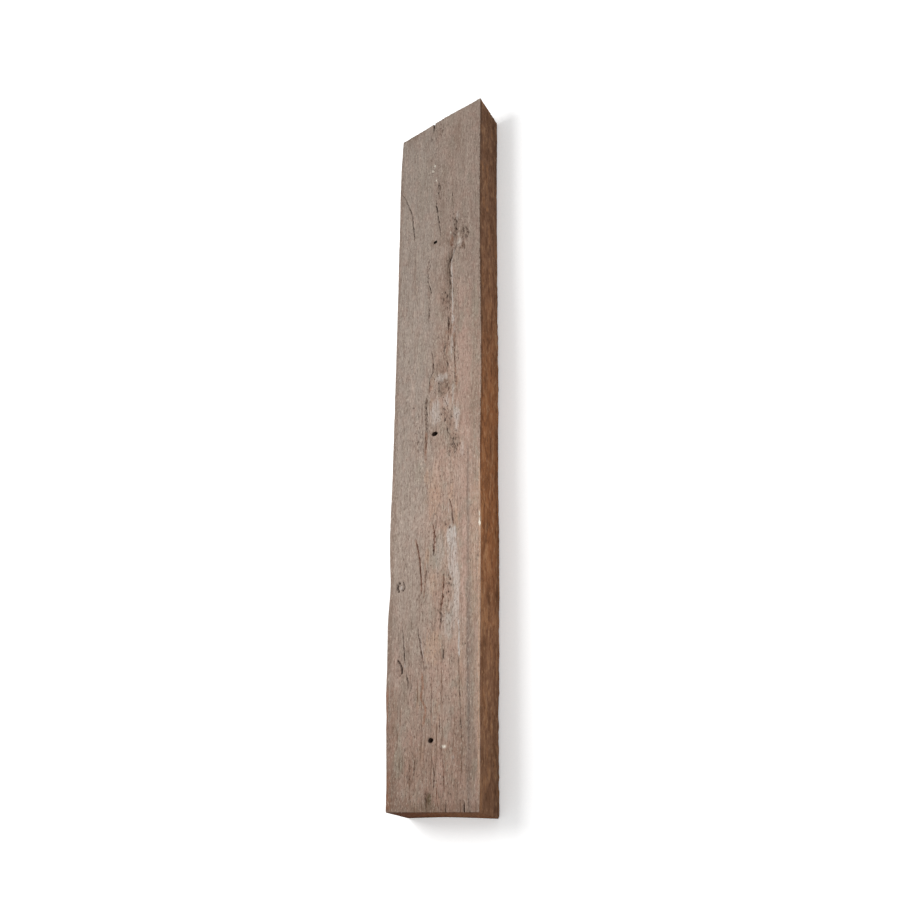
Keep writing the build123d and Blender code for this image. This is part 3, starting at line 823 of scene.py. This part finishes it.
# Its tone: grey on the left, warmer on the right and at the near end. Its painted light: the face
# lightest at mid-length, painted shade at the right side's foot, on the lamp-lit left side and to
# the left of each cut. A row gives how much of a tone or light there is at places along the board.
left_warmth = [(0, 0.95), (160, 0.85), (330, 0.45), (640, 0.15), (1500, 0.0)]
right_warmth = [(0, 0.95), (600, 0.95), (900, 0.85), (1100, 0.55), (1500, 0.45)]
left_light = [
    (0, 0.83), (160, 0.88), (320, 0.935), (540, 1.02), (800, 0.955), (1200, 0.87), (1500, 0.79),
]
right_light = [(0, 0.85), (240, 0.995), (640, 1.03), (900, 0.93), (1200, 0.805), (1500, 0.795)]
# Painted light on the right side, which lies in the lamp's shade, at places along it
right_side_light = [
    (0, 0.99), (120, 1.13), (280, 1.36), (550, 1.40), (760, 1.30), (1000, 1.22), (1250, 1.07), (1500, 0.96),
]
# Painted shade towards the foot of the right side, at places along it
foot_light = [(0, 0.90), (250, 0.98), (360, 0.92), (450, 0.80), (680, 0.84), (820, 0.92), (1500, 0.89)]
right_side_orange = [
    (0, 0.1), (350, 0.4), (480, 0.9), (760, 1.0), (900, 0.7), (1050, 0.3), (1500, 0.0),
]
# The painted light on its saw cuts is given at places across the board instead, with painted shade towards
# their left
cut_light = [(-105, 1.0), (20, 1.02), (50, 0.95), (75, 0.80), (105, 0.70)]
# Painted shade on the left side, which the lamp lights
left_side_light = 0.85
# How much darker its borders are: the face's left and the right side's top towards the far end,
# and the top of each cut, which is lighter than given at its foot
left_border_dark, side_top_dark, cut_top_dark, cut_foot_light = 0.035, 0.36, 0.14, 1.07

rightward = 1 - step_up(-25, 45, py + 9 * lattice(px / 90, py / 30, 45))
warm_left, warm_right = through(left_warmth, px), through(right_warmth, px)
paint("warm", np.clip(warm_left + (warm_right - warm_left) * rightward, 0, 1) * face_weight)
light_left, light_right = through(left_light, px), through(right_light, px)
face_light = light_left + (light_right - light_left) * rightward
face_light = face_light * (1 - left_border_dark * step_up(55, 85, py) * step_up(480, 620, px))
low_light = through(foot_light, px)
side_light = through(right_side_light, px) * (low_light + (1 - low_light) * step_up(8, 34, pz))
side_light = side_light * (1 - side_top_dark * step_up(67, 74, pz) * step_up(520, 760, px))
side_light = np.where(py > 0, left_side_light, side_light)
end_light = through(cut_light, py) * (cut_foot_light - cut_top_dark * step_up(20, 68, pz))
long_light = face_light * face_weight + side_light * (1 - face_weight)
paint("light", long_light * (1 - end_share) + end_light * end_share)
side_orange = through(right_side_orange, px) * (py < 0)
paint("orange", np.where(end_share > 0, step_up(-50, 80, py), side_orange))

# Where its grain lies, for the streaks of its material
place = points - box_middle
place[:, 1] = np.where(face_weight > 0.5, grain_across(px, py), py)
grain_place = plank.data.attributes.new("grain_place", "FLOAT_VECTOR", "POINT")
grain_place.data.foreach_set("vector", (place * MM).astype(np.float32).ravel())


# Its timber, as a material: tones of face, side and end grain, each streaked along the grain
def tone(red, green, blue):
    """A colour given as the eye sees it, 0 to 255, as the linear value that a shader takes."""
    share = np.array([red, green, blue]) / 255
    linear = np.where(share <= 0.04045, share / 12.92, ((share + 0.055) / 1.055) ** 2.4)
    return (*linear.tolist(), 1.0)


def add_node(tree, kind, inputs=None, **settings):
    """Add a node with its settings, its inputs given as values or linked from other sockets."""
    node = tree.nodes.new(kind)
    for name, value in settings.items():
        setattr(node, name, value)
    for name, value in (inputs or {}).items():
        if isinstance(value, bpy.types.NodeSocket):
            tree.links.new(value, node.inputs[name])
        else:
            node.inputs[name].default_value = value
    return node


def mixed(tree, factor, low, high):
    """One colour passing into another by a factor."""
    node = add_node(tree, "ShaderNodeMix", {0: factor, 6: low, 7: high}, data_type="RGBA")
    return node.outputs[2]


def ranged(tree, value, low, high, to_low=0.0, to_high=1.0):
    """A value's range low to high eased on to another, and held there outside it."""
    inputs = {"Value": value, "From Min": low, "From Max": high, "To Min": to_low, "To Max": to_high}
    return add_node(tree, "ShaderNodeMapRange", inputs, interpolation_type="SMOOTHSTEP").outputs[0]


def reckoned(tree, operation, first, second):
    """Two values put together by an operation."""
    return add_node(tree, "ShaderNodeMath", {0: first, 1: second}, operation=operation).outputs[0]


def painted(tree, name):
    """One of the masks painted on the plank's points."""
    return add_node(tree, "ShaderNodeAttribute", attribute_name=name).outputs["Fac"]


grain_group = bpy.data.node_groups.new("grain_streaks", "ShaderNodeTree")
for socket in ("Run", "Gap", "Shift"):
    grain_group.interface.new_socket(socket, in_out="INPUT", socket_type="NodeSocketFloat")
grain_group.interface.new_socket("Streak", in_out="OUTPUT", socket_type="NodeSocketFloat")
given = grain_group.nodes.new("NodeGroupInput").outputs
wood_place = add_node(grain_group, "ShaderNodeAttribute", attribute_name="grain_place").outputs["Vector"]
per_run = reckoned(grain_group, "DIVIDE", 1.0, given["Run"])
per_gap = reckoned(grain_group, "DIVIDE", 1.0, given["Gap"])
per_size = {"X": per_run, "Y": per_gap, "Z": per_gap}
stretch = add_node(grain_group, "ShaderNodeCombineXYZ", per_size).outputs[0]
scaled = add_node(grain_group, "ShaderNodeVectorMath", {0: wood_place, 1: stretch}, operation="MULTIPLY")
moved = add_node(grain_group, "ShaderNodeVectorMath", {0: scaled.outputs[0], 1: given["Shift"]},
                 operation="ADD").outputs[0]
streak_noise = {"Vector": moved, "Scale": 1.0, "Detail": 3.0, "Roughness": 0.6}
streak = add_node(grain_group, "ShaderNodeTexNoise", streak_noise)
grain_out = grain_group.nodes.new("NodeGroupOutput")
grain_group.links.new(streak.outputs["Fac"], grain_out.inputs["Streak"])


def streaks(tree, run, gap, shift):
    """Streaks along the board, so long and so far apart in metres, from the shared group."""
    node = add_node(tree, "ShaderNodeGroup", node_tree=grain_group)
    for name, value in (("Run", run), ("Gap", gap), ("Shift", shift)):
        node.inputs[name].default_value = value
    return node.outputs["Streak"]


timber = bpy.data.materials.new("weathered_timber")
timber.use_nodes = True
wood = timber.node_tree
wood.nodes.clear()


def glazed(colour, layers):
    """A colour under thin layers. Each has a mask, the two values at which it starts and is full,
    the share it then covers, and its own colour as the eye sees it."""
    for mask, start, full, cover, over in layers:
        share = ranged(wood, mask, start, full, 0.0, cover)
        colour = mixed(wood, share, colour, tone(*over))
    return colour


# Streaks from broad bands to specks: how long, how far apart, and a shift that makes each its own
bands = streaks(wood, 0.26, 0.030, 3.0)
blotches = streaks(wood, 0.060, 0.016, 5.0)
hues = streaks(wood, 0.034, 0.020, 29.0)
threads = streaks(wood, 0.085, 0.0048, 7.0)
fibres = streaks(wood, 0.020, 0.0026, 11.0)
mottles = streaks(wood, 0.0085, 0.0052, 41.0)
dots = streaks(wood, 0.0058, 0.0030, 17.0)
specks = streaks(wood, 0.0062, 0.0024, 23.0)
torn = painted(wood, "torn")

# Its face: a ground of grey to warm brown, with greener and pinker hues where it is warm
face = mixed(wood, painted(wood, "warm"), tone(152, 139, 129), tone(161, 136, 121))
face = glazed(face, [
    (bands, 0.54, 0.66, 0.24, (136, 120, 110)),
    (bands, 0.46, 0.34, 0.24, (170, 154, 142)),
])
hue_share = ranged(wood, painted(wood, "warm"), 0.2, 1.0, 0.18, 0.50)
hue_green = reckoned(wood, "MULTIPLY", ranged(wood, hues, 0.52, 0.64), hue_share)
hue_pink = reckoned(wood, "MULTIPLY", ranged(wood, hues, 0.48, 0.36), hue_share)
face = mixed(wood, hue_green, face, tone(146, 138, 124))
face = mixed(wood, hue_pink, face, tone(172, 140, 126))
face = glazed(face, [
    (blotches, 0.52, 0.68, 0.35, (134, 116, 104)),
    (blotches, 0.48, 0.32, 0.3, (174, 158, 146)),
])
# Its stains on that ground: the fibres or the dots break up all but two of them
fibrous = ranged(wood, fibres, 0.30, 0.66, 1.0, 0.45)
spotted = ranged(wood, dots, 0.50, 0.60)
solid_stains = ("white", "olive")
for stain in stains:
    share = painted(wood, stain.name)
    if stain.name not in solid_stains:
        broken_by = spotted if stain.name == "speckled" else fibrous
        share = reckoned(wood, "MULTIPLY", share, broken_by)
    face = mixed(wood, share, face, tone(*stain.colour))
# A painted highlight on the lips beside the cracks, then the fine threads, fibres, dots and specks
# over its stains, and the dark lines of its grain
face = glazed(face, [
    (painted(wood, "lip"), 0.1, 1.0, 0.45, (192, 176, 162)),
    (threads, 0.52, 0.68, 0.35, (124, 102, 88)),
    (mottles, 0.52, 0.70, 0.35, (122, 102, 88)),
    (mottles, 0.48, 0.30, 0.3, (182, 166, 153)),
    (fibres, 0.54, 0.70, 0.42, (114, 94, 80)),
    (fibres, 0.46, 0.30, 0.38, (190, 171, 156)),
])
dark_dots = ranged(wood, dots, 0.57, 0.67)
dark_dots = reckoned(wood, "MULTIPLY", dark_dots, ranged(wood, torn, 0.0, 1.0, 0.36, 0.70))
face = mixed(wood, dark_dots, face, tone(94, 74, 62))
face = glazed(face, [
    (specks, 0.56, 0.69, 0.58, (102, 82, 69)),
    (specks, 0.43, 0.30, 0.58, (200, 182, 167)),
    (painted(wood, "line"), 0.15, 1.0, 0.8, (104, 78, 60)),
])

# Its sides, redder and with longer streaks
side_bands = streaks(wood, 0.16, 0.024, 49.0)
side_blotches = streaks(wood, 0.045, 0.012, 31.0)
side_threads = streaks(wood, 0.048, 0.0095, 37.0)
side_dots = streaks(wood, 0.014, 0.0062, 47.0)
side = mixed(wood, painted(wood, "orange"), tone(121, 89, 68), tone(138, 90, 57))
side = glazed(side, [
    (side_bands, 0.52, 0.66, 0.45, (104, 74, 52)),
    (side_blotches, 0.50, 0.66, 0.5, (96, 62, 40)),
    (side_blotches, 0.48, 0.32, 0.5, (158, 112, 76)),
    (side_threads, 0.52, 0.68, 0.5, (92, 60, 38)),
    (side_threads, 0.46, 0.30, 0.45, (162, 122, 90)),
    (side_dots, 0.54, 0.68, 0.55, (76, 46, 28)),
    (side_dots, 0.46, 0.32, 0.42, (168, 130, 98)),
])

# Its ends, with growth rings about the tree's heart, which lies 130 mm below the board
from_heart = (0.0, -0.02, 0.13)
spot = add_node(wood, "ShaderNodeTexCoord").outputs["Object"]
heartward = add_node(wood, "ShaderNodeMapping", {"Vector": spot, "Location": from_heart}).outputs[0]
wavy = {"Vector": heartward, "Scale": 46.0, "Distortion": 3.5, "Detail": 4.0, "Detail Scale": 2.0}
rings = add_node(wood, "ShaderNodeTexWave", wavy, wave_type="RINGS", rings_direction="X").outputs["Fac"]
end_grime = streaks(wood, 0.011, 0.0060, 53.0)
end = mixed(wood, ranged(wood, rings, 0.2, 0.9), tone(106, 67, 42), tone(132, 88, 56))
end = glazed(end, [
    (painted(wood, "orange"), 0.0, 1.0, 0.82, (100, 50, 16)),
    (end_grime, 0.46, 0.66, 0.65, (74, 46, 28)),
    (end_grime, 0.42, 0.28, 0.45, (160, 116, 78)),
    (specks, 0.50, 0.70, 0.6, (62, 42, 28)),
])

# All of it together: face, sides and ends, their painted light and shade, and the painted shade of the
# cracks and holes
colour = mixed(wood, painted(wood, "sawn"), face, side)
colour = mixed(wood, painted(wood, "end_grain"), colour, end)
lit = {"Color": colour, "Value": painted(wood, "light")}
colour = add_node(wood, "ShaderNodeHueSaturation", lit).outputs[0]
# The colour of the painted shade in cracks, pits and holes: dark brown, redder where rust lies
deep = mixed(wood, painted(wood, "rust"), tone(60, 44, 36), tone(120, 62, 40))
dotted = reckoned(wood, "MULTIPLY", painted(wood, "crevice"), ranged(wood, dots, 0.36, 0.56, 0.55, 1.0))
colour = mixed(wood, ranged(wood, dotted, 0.0, 1.0, 0.0, 0.92), colour, deep)

# Fine relief that its mesh is too coarse to hold, and its dull surface
fibre_height = ranged(wood, fibres, 0.3, 0.7, 1.0, 0.0)
dot_height = ranged(wood, dots, 0.4, 0.7, 1.0, 0.0)
height = reckoned(wood, "ADD", fibre_height, dot_height)
bump = add_node(wood, "ShaderNodeBump", {"Height": height, "Strength": 0.5, "Distance": 0.0007})
dull = {"Base Color": colour, "Normal": bump.outputs[0], "Roughness": 0.9, "Specular IOR Level": 0.12}
shader = add_node(wood, "ShaderNodeBsdfPrincipled", dull)
add_node(wood, "ShaderNodeOutputMaterial", {"Surface": shader.outputs[0]})
plank.data.materials.append(timber)

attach(plank, "root")
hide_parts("plank")

# The floor
# A plain white studio floor. It glows a little to the camera alone, so that it reads as white
# paper and still holds the plank's soft shadow.
floor_half, paper_white, paper_glow = 30.0, (0.88, 0.88, 0.88, 1), 0.30
floor_corners = np.array([(-1, -1, 0), (1, -1, 0), (1, 1, 0), (-1, 1, 0)]) * floor_half
floor = make_mesh("floor", floor_corners, [np.array([(0, 1, 2, 3)])])
paper = bpy.data.materials.new("floor_white")
paper.use_nodes = True
tree = paper.node_tree
tree.nodes.clear()
seen = add_node(tree, "ShaderNodeLightPath").outputs["Is Camera Ray"]
matt = add_node(tree, "ShaderNodeBsdfDiffuse", {"Color": paper_white})
seen_glow = reckoned(tree, "MULTIPLY", seen, paper_glow)
glow = add_node(tree, "ShaderNodeEmission", {"Color": (1, 1, 1, 1), "Strength": seen_glow})
both = add_node(tree, "ShaderNodeAddShader", {0: matt.outputs[0], 1: glow.outputs[0]})
add_node(tree, "ShaderNodeOutputMaterial", {"Surface": both.outputs[0]})
floor.data.materials.append(paper)

# The light
# A white surround and one large soft lamp over the plank's left, so its right side and its near
# end stand in shade. The surround is fully white where it is seen, and dimmer where it lights.
surround_light = 0.62
world = bpy.data.worlds.new("studio")
bpy.context.scene.world = world
world.use_nodes = True
sky = world.node_tree
sky.nodes.clear()
path = add_node(sky, "ShaderNodeLightPath")
direct = reckoned(sky, "MAXIMUM", path.outputs["Is Camera Ray"], path.outputs["Is Glossy Ray"])
direct = reckoned(sky, "MAXIMUM", direct, path.outputs["Is Transmission Ray"])
strength = ranged(sky, direct, 0.0, 1.0, surround_light, 1.0)
background = add_node(sky, "ShaderNodeBackground", {"Color": (1, 1, 1, 1), "Strength": strength})
add_node(sky, "ShaderNodeOutputWorld", {"Surface": background.outputs[0]})


def stand(name, data, place, right, up, ahead):
    """Put a lamp or camera at a place, by the directions of its right, its top and its view."""
    holder = bpy.data.objects.new(name, data)
    rows = [[right[i], up[i], -ahead[i], place[i]] for i in range(3)]
    holder.matrix_world = Matrix(rows + [[0, 0, 0, 1]])
    bpy.context.collection.objects.link(holder)
    return holder


lamp = bpy.data.lights.new("overhead_lamp", "AREA")
lamp.size, lamp.energy = 1.6, 62
lamp_place = np.array([0.5, 1.7, 2.2])
lamp_ahead = -lamp_place / np.linalg.norm(lamp_place)
lamp_right = np.cross(lamp_ahead, (0, 0, 1))
lamp_right = lamp_right / np.linalg.norm(lamp_right)
stand("overhead_lamp", lamp, lamp_place, lamp_right, np.cross(lamp_right, lamp_ahead), lamp_ahead)

# The camera
# The photograph's own view: a pinhole fitted to the plank's corners, above and to the right of its
# near end. Its eye is given in the plank's millimetres, and its directions along the same axes.
eye = (np.array([-161.5, -1199.2, 1953.8]) - box_middle) * MM
eye_right = np.array([0.010362, -0.85123, -0.52469])
eye_down = np.array([-0.932781, 0.180834, -0.311798])
eye_ahead = np.array([0.360294, 0.492652, -0.792138])
camera_data = bpy.data.cameras.new("camera")
camera_data.lens = 47.525
camera = stand("camera", camera_data, eye, eye_right, -eye_down, eye_ahead)
bpy.context.scene.camera = camera
bpy.context.scene.view_settings.view_transform = "Standard"
